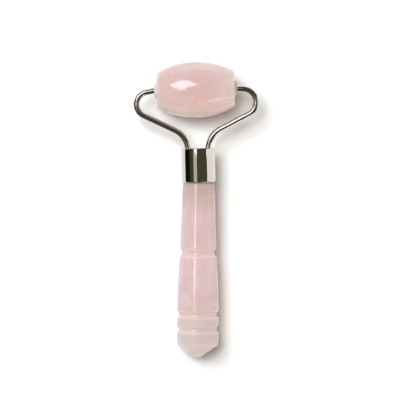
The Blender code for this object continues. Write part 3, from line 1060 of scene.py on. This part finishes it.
def build_key():
    """The softbox and its blunt lower corner, their twins for the chrome, and the skirt below them."""
    aim = Matrix.Rotation(KEY_TURN, 3, "Z") @ Matrix.Rotation(KEY_TILT, 3, "X")
    rotation = (aim @ Matrix.Rotation(KEY_ROLL, 3, "Z")).to_euler()
    location = aim @ Vector((0.0, 0.0, KEY_DISTANCE))
    softbox = (location, rotation, KEY_SIZE)
    corner = (CORNER_CENTRE, NO_TURN, CORNER_SIZE)
    chrome_corner = (CHROME_CORNER_CENTRE, NO_TURN, CHROME_CORNER_SIZE)
    skirt = (SKIRT_CENTRE, NO_TURN, SKIRT_SIZE)
    all_but_chrome = linked_pieces("all_but_chrome", CHROME_PIECES, "EXCLUDE")
    only_chrome = linked_pieces("only_chrome", CHROME_PIECES, "INCLUDE")
    for name, (place, turn, size), radiance, receivers in (
        ("key_softbox", softbox, KEY_RADIANCE, all_but_chrome),
        ("softbox_corner", corner, CORNER_RADIANCE, all_but_chrome),
        ("chrome_softbox", softbox, CHROME_KEY_RADIANCE, only_chrome),
        ("chrome_corner", chrome_corner, CHROME_KEY_RADIANCE, only_chrome),
        ("softbox_skirt", skirt, SKIRT_RADIANCE, None),
    ):
        lamp = add_area_light(name, place, turn, size, panel_power(radiance, size), KEY_COLOUR)
        if receivers:
            lamp.light_linking.receiver_collection = receivers


def build_cards():
    """White cards low on the right and right of the front, each with a bright upper edge."""
    card_height = CARD_DISTANCE / math.tan(CARD_TOP_ANGLE)
    add_area_light(
        "white_card",
        (CARD_DISTANCE, 0.0, card_height / 2),
        (0.0, UPRIGHT, 0.0),
        (card_height, CARD_WIDTH),
        CARD_POWER,
        CARD_COLOUR,
    )
    add_area_light(
        "white_card_edge",
        (EDGE_DISTANCE * math.sin(EDGE_ANGLE), EDGE_CENTRE_Y, EDGE_DISTANCE * math.cos(EDGE_ANGLE)),
        (0.0, EDGE_ANGLE, 0.0),
        EDGE_SIZE,
        EDGE_POWER,
        CARD_COLOUR,
    )
    front_turn = (UPRIGHT, 0.0, FRONT_CARD_TURN)
    front_width, front_height = FRONT_CARD_SIZE
    edge_size = (front_width, FRONT_EDGE_WIDTH)
    for name, height, size, power in (
        ("front_card", front_height / 2, FRONT_CARD_SIZE, FRONT_CARD_POWER),
        ("front_card_edge", front_height + FRONT_EDGE_WIDTH / 2, edge_size, FRONT_EDGE_POWER),
    ):
        place = (*FRONT_CARD_CENTRE, height)
        lamp = add_area_light(name, place, front_turn, size, power, CARD_COLOUR)
        lamp.visible_diffuse = False


def build_black_card():
    """An upright card that only the chrome's reflections show."""
    low, high = BLACK_CARD_Y
    corners = ((low, 0.0), (high, 0.0), (high, BLACK_CARD_HEIGHT), (low, BLACK_CARD_HEIGHT))
    mesh = bpy.data.meshes.new("black_card")
    mesh.from_pydata([(BLACK_CARD_X, y, z) for y, z in corners], [], [(0, 1, 2, 3)])
    mesh.materials.append(card_black())
    card = bpy.data.objects.new("black_card", mesh)
    card.visible_camera = False
    card.visible_diffuse = False
    card.visible_shadow = False
    bpy.context.scene.collection.objects.link(card)


def build_fills():
    """Two unseen fills, and the glow that reaches only the stones and bushes."""
    top_size = (TOP_SIDE, TOP_SIDE)
    top = add_area_light("overhead_fill", TOP_CENTRE, NO_TURN, top_size, TOP_POWER, TOP_COLOUR)
    back = add_area_light(
        "back_fill",
        (0.0, BACK_DISTANCE, BACK_SIZE[1] / 2),
        (-UPRIGHT, 0.0, 0.0),
        BACK_SIZE,
        BACK_POWER,
        TOP_COLOUR,
    )
    lit_pieces = linked_pieces("lit_pieces", CLEAR_PIECES, "INCLUDE")
    lamps = [top, back]
    for name, ((x, y), power, colour) in GLOWS.items():
        lamp = add_area_light(
            name + "_glow",
            (x * GLOW_DISTANCE, y * GLOW_DISTANCE, GLOW_SIZE[1] / 2),
            (UPRIGHT, 0.0, math.atan2(x, -y)),
            GLOW_SIZE,
            power,
            colour,
        )
        lamp.light_linking.receiver_collection = lit_pieces
        lamps.append(lamp)
    for lamp in lamps:
        lamp.visible_glossy = False


def build_world():
    """A dark ceiling in reflections, and a pale backdrop behind."""
    world = bpy.data.worlds.new("studio")
    bpy.context.scene.world = world
    world.use_nodes = True
    tree = world.node_tree
    tree.nodes.clear()
    way = add_node(tree, "TexCoord", {}).outputs["Generated"]
    sideways = add_node(tree, "SeparateXYZ", {0: way}).outputs["X"]
    ceiling = mixed(tree, remapped(tree, sideways, *CEILING_RAMP), CEILING_DARK, CEILING_OLIVE)
    ray = add_node(tree, "LightPath", {})
    dark = add_node(tree, "Background", {"Color": CEILING_DARK, "Strength": 1.0})
    mirrored = add_node(tree, "Background", {"Color": ceiling, "Strength": 1.0})
    backdrop = add_node(tree, "Background", {"Color": BACKDROP_COLOUR, "Strength": 1.0})
    lit = add_node(
        tree, "MixShader", {0: ray.outputs["Is Glossy Ray"], 1: dark.outputs[0], 2: mirrored.outputs[0]}
    )
    seen = add_node(
        tree, "MixShader", {0: ray.outputs["Is Camera Ray"], 1: lit.outputs[0], 2: backdrop.outputs[0]}
    )
    add_node(tree, "OutputWorld", {"Surface": seen.outputs[0]})


def build_camera():
    """A camera straight above the table, with the picture turned a little."""
    camera_data = bpy.data.cameras.new("camera")
    camera_data.sensor_width = SENSOR_WIDTH
    camera_data.lens = SENSOR_WIDTH * CAMERA_DISTANCE / VIEW_WIDTH
    camera = bpy.data.objects.new("camera", camera_data)
    camera.location = CAMERA_AIM + Vector((0.0, 0.0, CAMERA_DISTANCE))
    camera.rotation_euler = (0.0, 0.0, CAMERA_ROLL)
    bpy.context.scene.collection.objects.link(camera)
    bpy.context.scene.camera = camera


build_roller()
build_bushes()
build_wires()
build_ferrule()
build_handle()
finish_glue()
build_table()
build_key()
build_cards()
build_black_card()
build_fills()
build_world()
build_camera()
bpy.context.scene.view_settings.view_transform = "Standard"
